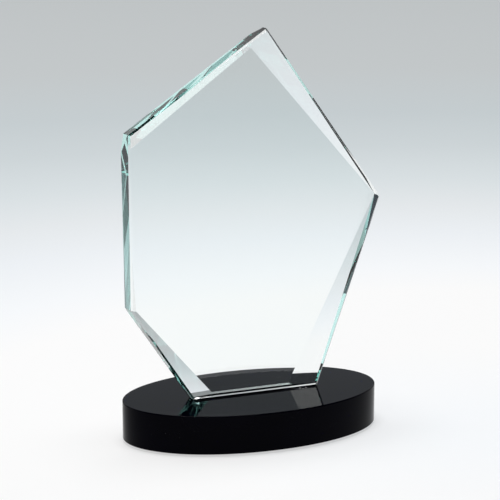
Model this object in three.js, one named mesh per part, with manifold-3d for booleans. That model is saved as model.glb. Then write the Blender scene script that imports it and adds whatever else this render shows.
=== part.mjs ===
// Crystal award: a bevelled six-sided plate of clear glass, glued upright on a solid black oval base.
// Millimetres, +Z up. The origin is on the table, under the middle of the base.
// X runs along the long axis of the oval, and the plain face of the plate looks along -Y.
import * as THREE from 'three';
import { mergeVertices } from 'three/addons/utils/BufferGeometryUtils.js';
import Module from 'manifold-3d';

const wasm = await Module();
wasm.setup();

// ---- driving dimensions ----
const BASE_LENGTH = 125;          // long axis of the oval
const BASE_WIDTH = 78;            // short axis of the oval
const BASE_HEIGHT = 18;
const BASE_CHAMFER = 0.5;         // polished chamfer at both rims
const BASE_SEGMENTS = 72;         // points in half of the oval outline

const PAD_INSET = 3;              // the pad stops short of the base's rim
const PAD_THICKNESS = 0.75;
const PAD_SEGMENTS = 48;
const FILM_INSET = 4;             // the double-sided film stops short of the pad's rim
const FILM_THICKNESS = 0.25;
const FILM_SEGMENTS = 40;

const GLASS_THICKNESS = 10;
const BOND_THICKNESS = 0.25;      // cured adhesive under the foot of the glass
const BOND_INSET = 0.5;           // clean line left around the adhesive
const ARRIS = 0.8;                // small polished arris along the edges of the plain front face
const FOOT_ARRIS = 0.8;           // ground arris along the front and back edges of the foot
const CUTTER_SIZE = 400;          // larger than the glass in every direction

// Corners of the glass, X and height above its foot, clockwise from the peak.
const PEAK = [6.3, 170.7];
const RIGHT = [65.0, 88.3];
const FOOT_RIGHT = [32.8, 0];
const FOOT_LEFT = [-30.9, 0];
const LEFT_LOW = [-61.3, 45.2];
const LEFT_HIGH = [-61.8, 126.3];

// Each bevel is one flat cut across the back edge of a side. Its width on the back face changes
// evenly from the first corner to the second. `steepness` is its depth in the side over its width.
const UPPER_RIGHT = { from: PEAK, to: RIGHT, widthFrom: 10.2, widthTo: 0, steepness: 0.55 };
const LOWER_RIGHT = { from: RIGHT, to: FOOT_RIGHT, widthFrom: 0, widthTo: 11.6, steepness: 0.42 };
const LOWER_LEFT = { from: FOOT_LEFT, to: LEFT_LOW, widthFrom: 9.4, widthTo: 2.4, steepness: 0.5 };
const LEFT = { from: LEFT_LOW, to: LEFT_HIGH, widthFrom: 4.6, widthTo: 0, steepness: 0.4 };
const UPPER_LEFT = { from: LEFT_HIGH, to: PEAK, widthFrom: 8.0, widthTo: 4.4, steepness: 0.47 };
const BEVELS = [UPPER_RIGHT, LOWER_RIGHT, LOWER_LEFT, LEFT, UPPER_LEFT];

// ---- heights of the stack ----
const FILM_BOTTOM = PAD_THICKNESS;
const BASE_BOTTOM = FILM_BOTTOM + FILM_THICKNESS;
const BASE_TOP = BASE_BOTTOM + BASE_HEIGHT;
const GLASS_BOTTOM = BASE_TOP + BOND_THICKNESS;

// ---- materials ----
const clearGlass = new THREE.MeshStandardMaterial({ color: 0xdcebe6, roughness: 0.02, metalness: 0 });
const clearAdhesive = new THREE.MeshStandardMaterial({ color: 0xe6ece4, roughness: 0.15, metalness: 0 });
const blackCrystal = new THREE.MeshStandardMaterial({ color: 0x08070a, roughness: 0.03, metalness: 0 });
const tapeFilm = new THREE.MeshStandardMaterial({ color: 0xb9b4a6, roughness: 0.5, metalness: 0 });
const blackFelt = new THREE.MeshStandardMaterial({ color: 0x1b1b1d, roughness: 0.95, metalness: 0 });

// ---- solids and cuts ----
function toSolid(geometry) {
  const bare = geometry.clone();
  bare.deleteAttribute('normal');
  bare.deleteAttribute('uv');
  const merged = mergeVertices(bare);
  return new wasm.Manifold(new wasm.Mesh({
    numProp: 3,
    vertProperties: new Float32Array(merged.attributes.position.array),
    triVerts: new Uint32Array(merged.index.array),
  }));
}

function toGeometry(solid) {
  const mesh = solid.getMesh();
  const geometry = new THREE.BufferGeometry();
  geometry.setAttribute('position', new THREE.BufferAttribute(new Float32Array(mesh.vertProperties), 3));
  geometry.setIndex(new THREE.BufferAttribute(new Uint32Array(mesh.triVerts), 1));
  geometry.computeVertexNormals();
  return geometry;
}

// A large block whose bottom face lies on the plane through `point`, on the side that `normal` points to.
function blockBeyond(point, normal) {
  const block = new THREE.BoxGeometry(CUTTER_SIZE, CUTTER_SIZE, CUTTER_SIZE);
  block.translate(0, 0, CUTTER_SIZE / 2);
  const up = new THREE.Vector3(0, 0, 1);
  block.applyQuaternion(new THREE.Quaternion().setFromUnitVectors(up, normal));
  block.translate(point.x, point.y, point.z);
  return toSolid(block);
}

// Directions along one side of the glass: `along` from corner to corner, `out` square to it.
function sideOf({ from, to }) {
  const start = new THREE.Vector3(from[0], 0, from[1]);
  const along = new THREE.Vector3(to[0], 0, to[1]).sub(start);
  const length = along.length();
  along.divideScalar(length);
  const out = new THREE.Vector3(-along.z, 0, along.x);
  return { start, along, out, length };
}

// What a bevel takes off. With `inset`, the cut is that much deeper.
function bevelBlock(bevel, inset = 0) {
  const { start, along, out, length } = sideOf(bevel);
  const taper = (bevel.widthTo - bevel.widthFrom) / length;
  const normal = out.clone().addScaledVector(along, taper);
  normal.y = 1 / bevel.steepness;
  normal.normalize();
  const point = start.clone().addScaledVector(out, -bevel.widthFrom);
  point.y = GLASS_THICKNESS / 2;
  point.addScaledVector(normal, -inset);
  return blockBeyond(point, normal);
}

// What the arris takes off the front edge of one side.
function arrisBlock(side) {
  const { start, out } = sideOf(side);
  const normal = out.clone();
  normal.y = -1;
  const point = start.clone().addScaledVector(out, -ARRIS);
  point.y = -GLASS_THICKNESS / 2;
  return blockBeyond(point, normal.normalize());
}

// What the arris takes off one long edge of the foot: `face` is -1 for the front and 1 for the back.
function footArrisBlock(face) {
  const point = new THREE.Vector3(0, face * (GLASS_THICKNESS / 2 - FOOT_ARRIS), 0);
  return blockBeyond(point, new THREE.Vector3(0, face, -1).normalize());
}

// An oval plate lying flat, its lowest face at height 0, with an optional chamfer at both rims.
function ovalPlate(length, width, height, chamfer, segments) {
  const oval = new THREE.Shape();
  oval.absellipse(0, 0, length / 2 - chamfer, width / 2 - chamfer, 0, Math.PI * 2);
  const plate = new THREE.ExtrudeGeometry(oval, {
    depth: height - 2 * chamfer,
    curveSegments: segments,
    bevelEnabled: chamfer > 0,
    bevelSegments: 1,
    bevelSize: chamfer,
    bevelThickness: chamfer,
  });
  plate.translate(0, 0, chamfer);
  return plate;
}

function named(name, geometry, material, height) {
  const mesh = new THREE.Mesh(geometry, material);
  mesh.name = name;
  mesh.position.z = height;
  return mesh;
}

// ---- the pieces ----
function crystalBlade() {
  const corners = [PEAK, RIGHT, FOOT_RIGHT, FOOT_LEFT, LEFT_LOW, LEFT_HIGH];
  const outline = new THREE.Shape(corners.map(([x, z]) => new THREE.Vector2(x, z)));
  const plate = new THREE.ExtrudeGeometry(outline, { depth: GLASS_THICKNESS, bevelEnabled: false });
  plate.translate(0, 0, -GLASS_THICKNESS / 2);
  plate.rotateX(Math.PI / 2);
  let solid = toSolid(plate);
  for (const bevel of BEVELS) solid = solid.subtract(bevelBlock(bevel)).subtract(arrisBlock(bevel));
  for (const face of [-1, 1]) solid = solid.subtract(footArrisBlock(face));
  return toGeometry(solid);
}

// The adhesive fills the flat foot of the glass, which the two neighbouring bevels narrow at the back.
// Like the glass, it is drawn with the foot at height 0.
function bondFilm() {
  const left = FOOT_LEFT[0] + BOND_INSET;
  const right = FOOT_RIGHT[0] - BOND_INSET;
  const depth = GLASS_THICKNESS - 2 * (FOOT_ARRIS + BOND_INSET);
  const film = new THREE.BoxGeometry(right - left, depth, BOND_THICKNESS);
  film.translate((left + right) / 2, 0, -BOND_THICKNESS / 2);
  let solid = toSolid(film);
  for (const bevel of [LOWER_RIGHT, LOWER_LEFT]) solid = solid.subtract(bevelBlock(bevel, BOND_INSET));
  return toGeometry(solid);
}

const padLength = BASE_LENGTH - 2 * PAD_INSET;
const padWidth = BASE_WIDTH - 2 * PAD_INSET;
const feltPad = ovalPlate(padLength, padWidth, PAD_THICKNESS, 0, PAD_SEGMENTS);

const filmLength = padLength - 2 * FILM_INSET;
const filmWidth = padWidth - 2 * FILM_INSET;
const padAdhesive = ovalPlate(filmLength, filmWidth, FILM_THICKNESS, 0, FILM_SEGMENTS);

const ovalBase = ovalPlate(BASE_LENGTH, BASE_WIDTH, BASE_HEIGHT, BASE_CHAMFER, BASE_SEGMENTS);

const award = new THREE.Group();
award.add(
  named('felt_pad', feltPad, blackFelt, 0),
  named('pad_adhesive', padAdhesive, tapeFilm, FILM_BOTTOM),
  named('oval_base', ovalBase, blackCrystal, BASE_BOTTOM),
  named('bond_film', bondFilm(), clearAdhesive, GLASS_BOTTOM),
  named('crystal_blade', crystalBlade(), clearGlass, GLASS_BOTTOM),
);

export default award;
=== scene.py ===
"""Looks of the crystal award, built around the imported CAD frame. Units are metres."""

import math

import bmesh
import bpy
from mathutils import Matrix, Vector, noise


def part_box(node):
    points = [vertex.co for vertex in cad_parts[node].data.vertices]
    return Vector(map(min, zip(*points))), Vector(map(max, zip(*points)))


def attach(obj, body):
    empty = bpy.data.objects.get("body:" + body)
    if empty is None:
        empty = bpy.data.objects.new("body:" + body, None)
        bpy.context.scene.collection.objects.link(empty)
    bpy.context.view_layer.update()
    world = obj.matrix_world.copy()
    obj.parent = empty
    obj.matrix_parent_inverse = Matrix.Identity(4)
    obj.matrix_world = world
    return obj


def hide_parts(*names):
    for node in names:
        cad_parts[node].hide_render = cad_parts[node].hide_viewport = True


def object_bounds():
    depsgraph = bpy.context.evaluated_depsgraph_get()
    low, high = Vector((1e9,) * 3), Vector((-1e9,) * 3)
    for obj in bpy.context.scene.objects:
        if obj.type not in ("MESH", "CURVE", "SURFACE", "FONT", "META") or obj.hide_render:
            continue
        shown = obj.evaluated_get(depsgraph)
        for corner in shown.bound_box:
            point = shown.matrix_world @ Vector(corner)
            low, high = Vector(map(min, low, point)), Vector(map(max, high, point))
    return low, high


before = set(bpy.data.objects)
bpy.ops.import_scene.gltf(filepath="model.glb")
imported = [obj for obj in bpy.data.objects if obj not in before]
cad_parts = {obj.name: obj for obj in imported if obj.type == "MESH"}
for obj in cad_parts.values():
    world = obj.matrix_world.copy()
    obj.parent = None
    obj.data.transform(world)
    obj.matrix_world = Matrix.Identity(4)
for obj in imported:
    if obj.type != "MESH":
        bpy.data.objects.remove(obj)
CAD_LOW, CAD_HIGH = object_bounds()
scene = bpy.context.scene
scene.view_settings.view_transform = "Standard"

# Light crosses the plaque many times before it comes out of an edge.
LIGHT_BOUNCES = 64
scene.cycles.max_bounces = LIGHT_BOUNCES
scene.cycles.glossy_bounces = LIGHT_BOUNCES
scene.cycles.transmission_bounces = LIGHT_BOUNCES

MM = 0.001
BASE_LOW, BASE_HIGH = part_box("oval_base")
BASE_CENTRE = (BASE_LOW + BASE_HIGH) / 2
PAD_LOW, PAD_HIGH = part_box("felt_pad")
FOOT_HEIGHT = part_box("crystal_blade")[0].z

# ---- camera: round to the left of the front, looking a little down ----
CAMERA_AZIMUTH = math.radians(-24.27)
CAMERA_PITCH = math.radians(12.68)
CAMERA_DISTANCE = 1.1738
CAMERA_RISE = 0.0658       # from the middle of the base's top to the camera's aim, along its own up
CAMERA_LENS = 180
# Level directions as the camera sees them.
AHEAD = Vector((-math.sin(CAMERA_AZIMUTH), math.cos(CAMERA_AZIMUTH), 0))
RIGHT = Vector((math.cos(CAMERA_AZIMUTH), math.sin(CAMERA_AZIMUTH), 0))


def make_camera():
    """The main view: the whole award, from a little above."""
    back = Vector((0, 0, math.sin(CAMERA_PITCH))) - AHEAD * math.cos(CAMERA_PITCH)
    aim = Vector((BASE_CENTRE.x, BASE_CENTRE.y, BASE_HIGH.z)) + back.cross(RIGHT) * CAMERA_RISE
    data = bpy.data.cameras.new("camera")
    data.lens = CAMERA_LENS
    camera = bpy.data.objects.new("camera", data)
    camera.location = aim + back * CAMERA_DISTANCE
    camera.rotation_mode = "QUATERNION"
    camera.rotation_quaternion = (-back).to_track_quat("-Z", "Y")
    scene.collection.objects.link(camera)
    scene.camera = camera


# ---- node helpers ----
def new_material(name):
    """A material with its nodes, its links and its main shader."""
    material = bpy.data.materials.new(name)
    material.use_nodes = True
    nodes = material.node_tree.nodes
    return material, nodes, material.node_tree.links, nodes["Principled BSDF"]


def tone_from(nodes, links, value, stops):
    """The colour at `value` on a ramp of stops (position, colour)."""
    ramp = nodes.new("ShaderNodeValToRGB")
    elements = ramp.color_ramp.elements
    while len(elements) < len(stops):
        elements.new(0.5)
    for element, (position, colour) in zip(elements, stops):
        element.position = position
        element.color = (*colour, 1)
    links.new(value, ramp.inputs["Fac"])
    return ramp.outputs["Color"]


def object_noise(nodes, links, scale, detail=3.0, stretch=(1, 1, 1)):
    """Noise fixed to the object, `scale` features to the metre."""
    coordinates = nodes.new("ShaderNodeTexCoord")
    mapping = nodes.new("ShaderNodeMapping")
    mapping.inputs["Scale"].default_value = stretch
    texture = nodes.new("ShaderNodeTexNoise")
    texture.inputs["Scale"].default_value = scale
    texture.inputs["Detail"].default_value = detail
    links.new(coordinates.outputs["Object"], mapping.inputs["Vector"])
    links.new(mapping.outputs["Vector"], texture.inputs["Vector"])
    return texture.outputs["Fac"]


def ranged(nodes, links, value, low, high, out_low, out_high):
    """Maps `value` from low..high to out_low..out_high, clamped."""
    node = nodes.new("ShaderNodeMapRange")
    node.inputs["From Min"].default_value = low
    node.inputs["From Max"].default_value = high
    node.inputs["To Min"].default_value = out_low
    node.inputs["To Max"].default_value = out_high
    links.new(value, node.inputs["Value"])
    return node.outputs["Result"]


def bump_from(nodes, links, shader, height, distance):
    """Bumps the shader's surface by `height`, `distance` metres deep."""
    bump = nodes.new("ShaderNodeBump")
    bump.inputs["Distance"].default_value = distance
    links.new(height, bump.inputs["Height"])
    links.new(bump.outputs["Normal"], shader.inputs["Normal"])


def vector_math(nodes, links, operation, vector, socket=None, value=None):
    """A vector operation on `vector`, with one other input set to `value`."""
    node = nodes.new("ShaderNodeVectorMath")
    node.operation = operation
    links.new(vector, node.inputs[0])
    if socket is not None:
        node.inputs[socket].default_value = value
    return node


# ---- materials ----
GLASS_IOR = 1.52
JADE_TINT = (0.03, 0.73, 0.65, 1)      # what the glass lets through over a long path
JADE_DENSITY = 4.5                     # per metre
GLASS_WAVE = 0.0002 * MM
ADHESIVE_IOR = 1.48
BLACK_CRYSTAL_IOR = 1.10
BLACK_CRYSTAL_WAVE = 0.003 * MM
BUBBLE_SCALE = 420                     # bubbles to the metre
BUBBLE_DEPTH = 0.03 * MM
FELT_DEPTH = 0.12 * MM


def glass_material():
    """Clear jade-edge plate: polished, with the faint waviness of hand-ground faces."""
    material, nodes, links, shader = new_material("clear_crystal")
    shader.inputs["Base Color"].default_value = (1, 1, 1, 1)
    shader.inputs["Transmission Weight"].default_value = 1
    shader.inputs["IOR"].default_value = GLASS_IOR
    shader.inputs["Roughness"].default_value = 0
    bump_from(nodes, links, shader, object_noise(nodes, links, scale=45, detail=1), GLASS_WAVE)
    volume = nodes.new("ShaderNodeVolumeAbsorption")
    volume.inputs["Color"].default_value = JADE_TINT
    volume.inputs["Density"].default_value = JADE_DENSITY
    links.new(volume.outputs["Volume"], nodes["Material Output"].inputs["Volume"])
    return material


def ground_edge_material(name, painted_brightness):
    """A narrow edge of the foot, ground but not polished, so that it catches the light; a brightness
    below 1 darkens its tint as painted shade.
    """
    material, nodes, links, shader = new_material(name)
    grain = object_noise(nodes, links, scale=3500, detail=2)
    tone = tone_from(nodes, links, grain, [
        (0.3, tuple(painted_brightness * part for part in (0.86, 0.93, 0.92))),
        (0.7, tuple(painted_brightness * part for part in (0.97, 0.99, 0.99))),
    ])
    links.new(tone, shader.inputs["Base Color"])
    links.new(ranged(nodes, links, grain, 0.3, 0.7, 0.05, 0.12), shader.inputs["Roughness"])
    shader.inputs["Transmission Weight"].default_value = 0.95
    shader.inputs["IOR"].default_value = GLASS_IOR
    return material


def bonded_foot_material():
    """The foot is in optical contact with the black base through the adhesive, so it looks black."""
    material, nodes, links, shader = new_material("bonded_foot")
    mottle = object_noise(nodes, links, scale=220, detail=2)
    tone = tone_from(nodes, links, mottle, [(0.35, (0.002, 0.004, 0.004)), (0.7, (0.006, 0.010, 0.010))])
    links.new(tone, shader.inputs["Base Color"])
    shader.inputs["Roughness"].default_value = 0.6
    shader.inputs["Specular IOR Level"].default_value = 0
    return material


def adhesive_material():
    """Cured clear adhesive, slightly milky at its edge."""
    material, nodes, links, shader = new_material("clear_adhesive")
    cloud = object_noise(nodes, links, scale=900)
    tone = tone_from(nodes, links, cloud, [(0.3, (0.62, 0.74, 0.70)), (0.7, (0.86, 0.93, 0.90))])
    links.new(tone, shader.inputs["Base Color"])
    links.new(ranged(nodes, links, cloud, 0.3, 0.7, 0.08, 0.25), shader.inputs["Roughness"])
    shader.inputs["Transmission Weight"].default_value = 0.6
    shader.inputs["IOR"].default_value = ADHESIVE_IOR
    return material


def black_crystal_material():
    """Solid black glass: a mirror polish with a trace of handling haze."""
    material, nodes, links, shader = new_material("black_crystal")
    haze = object_noise(nodes, links, scale=38, detail=4)
    depth = tone_from(nodes, links, haze, [
        (0.35, (0.0001, 0.0001, 0.0014)),
        (0.75, (0.0004, 0.0003, 0.0026)),
    ])
    links.new(depth, shader.inputs["Base Color"])
    links.new(ranged(nodes, links, haze, 0.45, 0.8, 0.008, 0.03), shader.inputs["Roughness"])
    shader.inputs["IOR"].default_value = BLACK_CRYSTAL_IOR
    bump_from(nodes, links, shader, object_noise(nodes, links, scale=60, detail=1), BLACK_CRYSTAL_WAVE)
    return material


def tape_material():
    """Double-sided film: dull, yellowish, with small trapped bubbles."""
    material, nodes, links, shader = new_material("adhesive_film")
    coordinates = nodes.new("ShaderNodeTexCoord")
    bubbles = nodes.new("ShaderNodeTexVoronoi")
    bubbles.inputs["Scale"].default_value = BUBBLE_SCALE
    links.new(coordinates.outputs["Object"], bubbles.inputs["Vector"])
    distance = bubbles.outputs["Distance"]
    tone = tone_from(nodes, links, distance, [(0.05, (0.62, 0.59, 0.51)), (0.30, (0.47, 0.44, 0.36))])
    links.new(tone, shader.inputs["Base Color"])
    links.new(ranged(nodes, links, distance, 0, 0.4, 0.3, 0.6), shader.inputs["Roughness"])
    bump_from(nodes, links, shader, distance, BUBBLE_DEPTH)
    return material


def felt_material():
    """Pressed black felt: crossed fibres with lighter lint."""
    material, nodes, links, shader = new_material("black_felt")
    fibres_along = object_noise(nodes, links, scale=900, detail=5, stretch=(0.25, 1.6, 1))
    fibres_across = object_noise(nodes, links, scale=900, detail=5, stretch=(1.6, 0.25, 1))
    weave = nodes.new("ShaderNodeMath")
    weave.operation = "MAXIMUM"
    links.new(fibres_along, weave.inputs[0])
    links.new(fibres_across, weave.inputs[1])
    tone = tone_from(nodes, links, weave.outputs["Value"], [
        (0.40, (0.006, 0.006, 0.007)),
        (0.62, (0.020, 0.020, 0.022)),
        (0.80, (0.060, 0.060, 0.064)),
    ])
    links.new(tone, shader.inputs["Base Color"])
    shader.inputs["Roughness"].default_value = 0.95
    shader.inputs["Sheen Weight"].default_value = 0.3
    shader.inputs["Sheen Roughness"].default_value = 0.6
    bump_from(nodes, links, shader, weave.outputs["Value"], FELT_DEPTH)
    return material


# ---- mesh helpers ----
WELD_DISTANCE = 1e-6
FLAT_ANGLE = math.radians(0.2)
LEVEL = 0.99               # a face whose normal has at least this height is level


def new_piece(name, form, materials):
    """A flat-shaded object made from a bmesh, which is used up."""
    mesh = bpy.data.meshes.new(name)
    for face in form.faces:
        face.smooth = False
    form.to_mesh(mesh)
    form.free()
    for material in materials:
        mesh.materials.append(material)
    piece = bpy.data.objects.new(name, mesh)
    scene.collection.objects.link(piece)
    return piece


def flat_solid_of(node):
    """The CAD node's solid with one face for each flat side."""
    form = bmesh.new()
    form.from_mesh(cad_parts[node].data)
    bmesh.ops.remove_doubles(form, verts=form.verts, dist=WELD_DISTANCE)
    bmesh.ops.dissolve_limit(form, angle_limit=FLAT_ANGLE, verts=form.verts, edges=form.edges)
    return form


def oval_rings(rings, segments):
    """A closed solid of rings (half length, half width, height), lowest first, on the base's middle."""
    form = bmesh.new()
    loops = []
    for half_length, half_width, height in rings:
        loop = []
        for step in range(segments):
            turn = 2 * math.pi * step / segments
            x = BASE_CENTRE.x + half_length * math.cos(turn)
            y = BASE_CENTRE.y + half_width * math.sin(turn)
            loop.append(form.verts.new((x, y, height)))
        loops.append(loop)
    for lower, upper in zip(loops, loops[1:]):
        for step in range(segments):
            following = (step + 1) % segments
            form.faces.new((lower[step], lower[following], upper[following], upper[step]))
    form.faces.new(loops[-1])
    form.faces.new(list(reversed(loops[0])))
    return form


def stand_for(piece, node):
    """Shows `piece` in place of the CAD node, on the part's one body."""
    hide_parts(node)
    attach(piece, "root")


# ---- pieces ----
POLISHED_EDGE = 0.04 * MM      # hairline that polishing leaves where two faces of the plaque meet
FOOT_EDGE_TOP = 1.5 * MM       # the foot's narrow edges end below this, measured up from the foot
AT_FOOT = 0.01 * MM            # a face that starts below this stands on the foot
BACK_EDGE_SHADE = 0.35       # the foot's back edge is tinted darker than its front edge, painted shade that makes its line show dimmer


def make_blade():
    """The glass plaque, with hairline edges, two ground edges at its foot and a bonded underside."""
    form = flat_solid_of("crystal_blade")
    glass, bonded, front_edge, shaded_back_edge = range(4)
    for face in form.faces:
        touches_foot = min(v.co.z for v in face.verts) < FOOT_HEIGHT + AT_FOOT
        narrow = max(v.co.z for v in face.verts) < FOOT_HEIGHT + FOOT_EDGE_TOP
        if face.normal.z < -LEVEL:
            face.material_index = bonded
        elif touches_foot and narrow:
            face.material_index = front_edge if face.normal.y < 0 else shaded_back_edge
        else:
            face.material_index = glass
    sharp = [e for e in form.edges if min(v.co.z for v in e.verts) > FOOT_HEIGHT + FOOT_EDGE_TOP]
    bmesh.ops.bevel(form, geom=sharp, offset=POLISHED_EDGE, segments=1, affect="EDGES")
    materials = [
        glass_material(), bonded_foot_material(),
        # the back edge's material is a darker copy of the front edge's: painted shade
        ground_edge_material("front_edge", 1), ground_edge_material("shaded_back_edge", BACK_EDGE_SHADE),
    ]
    piece = new_piece("crystal_blade_polished", form, materials)
    stand_for(piece, "crystal_blade")


BOND_CORNER = 0.4 * MM
BOND_CORNER_STEPS = 4
BOND_MARGIN = 0.08 * MM        # width of the rim drawn round the adhesive's top and bottom
UPRIGHT_RISE = 0.1 * MM        # an edge of the adhesive that rises more than this is a corner


def make_bond():
    """The cured adhesive, with rounded corners."""
    form = flat_solid_of("bond_film")
    corners = [e for e in form.edges if abs(e.verts[0].co.z - e.verts[1].co.z) > UPRIGHT_RISE]
    bmesh.ops.bevel(
        form, geom=corners, offset=BOND_CORNER, segments=BOND_CORNER_STEPS, profile=0.5, affect="EDGES",
    )
    level = [f for f in form.faces if abs(f.normal.z) > LEVEL]
    bmesh.ops.inset_region(form, faces=level, thickness=BOND_MARGIN, use_even_offset=True)
    piece = new_piece("bond_film_cured", form, [adhesive_material()])
    stand_for(piece, "bond_film")


BASE_CHAMFER = 0.5 * MM
BASE_SEGMENTS = 256
CHAMFER_STEPS = 4
BASE_LEVEL = 0.999             # only the base's top and bottom have a normal with this height


def make_base():
    """The polished oval block, with rounded rims that are shaded smooth."""
    half_length = (BASE_HIGH.x - BASE_LOW.x) / 2
    half_width = (BASE_HIGH.y - BASE_LOW.y) / 2
    profile = []
    for step in range(CHAMFER_STEPS + 1):
        turn = math.pi / 2 * step / CHAMFER_STEPS
        inset = BASE_CHAMFER * (1 - math.sin(turn))
        rise = BASE_CHAMFER * (1 - math.cos(turn))
        profile.append((inset, rise))
    rings = [(half_length - i, half_width - i, BASE_LOW.z + rise) for i, rise in profile]
    rings += [(half_length - i, half_width - i, BASE_HIGH.z - rise) for i, rise in reversed(profile)]
    form = oval_rings(rings, BASE_SEGMENTS)
    piece = new_piece("oval_base_polished", form, [black_crystal_material()])
    for face in piece.data.polygons:
        face.use_smooth = abs(face.normal.z) < BASE_LEVEL
    stand_for(piece, "oval_base")


PAD_SEGMENTS = 180
PAD_FUZZ = 0.12 * MM           # how far the ragged edge is eaten in
PAD_FUZZ_SCALE = 900           # tufts to the metre
# The pad's edge from bottom to top: millimetres in from the outline, and share of the thickness.
PAD_EDGE = [(0.30, 0.0), (0.08, 0.12), (0.0, 0.4), (0.05, 0.75), (0.22, 1.0)]


def make_pad():
    """The pad: a die-cut sheet with a slightly ragged, compressed edge."""
    half_length = (PAD_HIGH.x - PAD_LOW.x) / 2
    half_width = (PAD_HIGH.y - PAD_LOW.y) / 2
    thick = PAD_HIGH.z - PAD_LOW.z
    rings = [
        (half_length - inset * MM, half_width - inset * MM, PAD_LOW.z + share * thick)
        for inset, share in PAD_EDGE
    ]
    form = oval_rings(rings, PAD_SEGMENTS)
    for vertex in form.verts:
        outward = Vector((vertex.co.x, vertex.co.y, 0)).normalized()
        eaten = (1 - noise.noise(vertex.co * PAD_FUZZ_SCALE)) / 2
        vertex.co -= outward * PAD_FUZZ * eaten
    piece = new_piece("felt_pad_cut", form, [felt_material()])
    stand_for(piece, "felt_pad")


def make_pad_adhesive():
    """The film under the pad keeps its CAD shape and takes only a new look."""
    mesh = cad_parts["pad_adhesive"].data
    mesh.materials.clear()
    mesh.materials.append(tape_material())


# ---- studio ----
# Tone of the backdrop by elevation in degrees.
BACKDROP = [
    (-20, (0.90, 0.90, 0.90)),
    (-5, (0.50, 0.52, 0.53)),
    (4.7, (0.50, 0.52, 0.53)),
    (5.3, (0.03, 0.04, 0.05)),
    (13.4, (0.03, 0.04, 0.05)),
    (14.4, (0.44, 0.47, 0.50)),
    (17.1, (0.44, 0.47, 0.50)),
    (17.7, (1.10, 1.12, 1.12)),
    (22.2, (1.10, 1.12, 1.12)),
    (25.2, (0.95, 0.97, 0.97)),
    (25.8, (0.25, 0.25, 0.27)),
    (29, (0.16, 0.16, 0.18)),
    (40, (0.03, 0.03, 0.03)),
    (90, (0.01, 0.01, 0.01)),
]
BACKDROP_TILT = 0.02       # the backdrop's bands rise a little towards the left
# Only the side of the room that the award is seen against is lit: share of the tone by how nearly
# a direction points ahead of the camera.
LIT_SIDE = (0.0, 0.45)
UNLIT_SHARE = 0.06
# Tone of the floor by metres from its brightest place, a painted pool of light: it fades from white into
# the grey backdrop.
FLOOR_PAINTED_LIGHT = [
    (0.03, (0.90, 0.92, 0.94)),
    (0.15, (0.93, 0.93, 0.93)),
    (0.28, (0.93, 0.93, 0.93)),
    (0.34, (0.89, 0.91, 0.93)),
    (0.43, (0.82, 0.85, 0.88)),
    (0.52, (0.76, 0.79, 0.81)),
    (0.62, (0.68, 0.73, 0.75)),
    (0.75, (0.61, 0.66, 0.68)),
    (0.90, (0.57, 0.62, 0.64)),
    (1.15, (0.58, 0.61, 0.62)),
    (1.65, (0.61, 0.64, 0.65)),
]
FLOOR_GLOW = 0.6            # the floor glows with its painted tone, standing in for a white table lit from below, so shadows on it are faint
FLOOR_RADIUS = 4
FLOOR_SEGMENTS = 96
FLOOR_GAP = 0.05 * MM       # keeps the felt and the floor from sharing one plane
FLOOR_SHIFT = 0.12          # the painted pool of light on the floor is brightest a little to the right of the award


def make_world():
    """The studio above the horizon, which only reflections and the glass edges see."""
    world = bpy.data.worlds.new("studio")
    world.use_nodes = True
    nodes, links = world.node_tree.nodes, world.node_tree.links
    direction = nodes.new("ShaderNodeTexCoord").outputs["Generated"]
    upward = vector_math(nodes, links, "DOT_PRODUCT", direction, 1, (BACKDROP_TILT, 0, 1))
    height = ranged(nodes, links, upward.outputs["Value"], -1, 1, 0, 1)
    bands = [((math.sin(math.radians(elevation)) + 1) / 2, tone) for elevation, tone in BACKDROP]
    tone = tone_from(nodes, links, height, bands)
    ahead = vector_math(nodes, links, "DOT_PRODUCT", direction, 1, AHEAD)
    share = ranged(nodes, links, ahead.outputs["Value"], *LIT_SIDE, UNLIT_SHARE, 1)
    lit = vector_math(nodes, links, "SCALE", tone)
    links.new(share, lit.inputs["Scale"])
    links.new(lit.outputs["Vector"], nodes["Background"].inputs["Color"])
    scene.world = world


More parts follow.
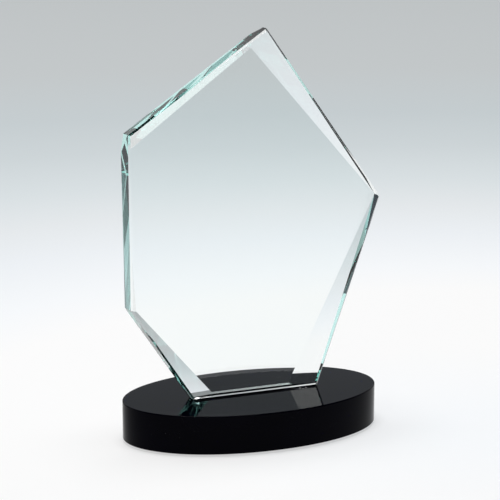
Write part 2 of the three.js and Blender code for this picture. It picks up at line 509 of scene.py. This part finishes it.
def make_floor():
    """A pale round floor, wide enough to fill the whole view behind the award, with a painted pool of
    light that glows and fades outward.
    """
    form = bmesh.new()
    bmesh.ops.create_circle(form, cap_ends=True, segments=FLOOR_SEGMENTS, radius=FLOOR_RADIUS)
    material, nodes, links, shader = new_material("floor")
    floor = new_piece("floor", form, [material])
    floor.location = RIGHT * FLOOR_SHIFT + Vector((0, 0, CAD_LOW.z - FLOOR_GAP))
    place = nodes.new("ShaderNodeTexCoord").outputs["Object"]
    # painted light: the floor's tone fades with distance from its middle
    distance = vector_math(nodes, links, "LENGTH", place)
    reach = FLOOR_PAINTED_LIGHT[-1][0]
    outward = ranged(nodes, links, distance.outputs["Value"], 0, reach, 0, 1)
    tone = tone_from(nodes, links, outward, [(away / reach, tone) for away, tone in FLOOR_PAINTED_LIGHT])
    dimmed = vector_math(nodes, links, "SCALE", tone, "Scale", 1 - FLOOR_GLOW)
    links.new(dimmed.outputs["Vector"], shader.inputs["Base Color"])
    links.new(tone, shader.inputs["Emission Color"])
    shader.inputs["Emission Strength"].default_value = FLOOR_GLOW
    shader.inputs["Roughness"].default_value = 0.9
    shader.inputs["Specular IOR Level"].default_value = 0


# Soft panels: name, place, aim, width, height, watts.
MID_AWARD = (0, 0, 0.1)
LIGHTS = [
    ("overhead", (0, 0.2, 2.4), (0, 0.2, 0), 1.4, 1.4, 60),
    ("left_panel", (-1.3, 0.75, 0.45), MID_AWARD, 1.2, 1.0, 3.6),
    ("right_panel", (1.5, 0.3, 0.7), MID_AWARD, 1.0, 1.2, 1),
    ("front_panel", (-0.83, -1.22, 1.03), MID_AWARD, 1.2, 1.25, 2.4),
]


def area_light(name, location, target, width, height, power):
    """A soft panel facing `target`, hidden from the camera."""
    data = bpy.data.lights.new(name, "AREA")
    data.shape = "RECTANGLE"
    data.size, data.size_y = width, height
    data.energy = power
    lamp = bpy.data.objects.new(name, data)
    lamp.visible_camera = False
    lamp.location = location
    lamp.rotation_mode = "QUATERNION"
    lamp.rotation_quaternion = (Vector(target) - Vector(location)).to_track_quat("-Z", "Y")
    scene.collection.objects.link(lamp)


make_camera()
make_world()
make_floor()
for light in LIGHTS:
    area_light(*light)
make_base()
make_pad()
make_pad_adhesive()
make_bond()
make_blade()
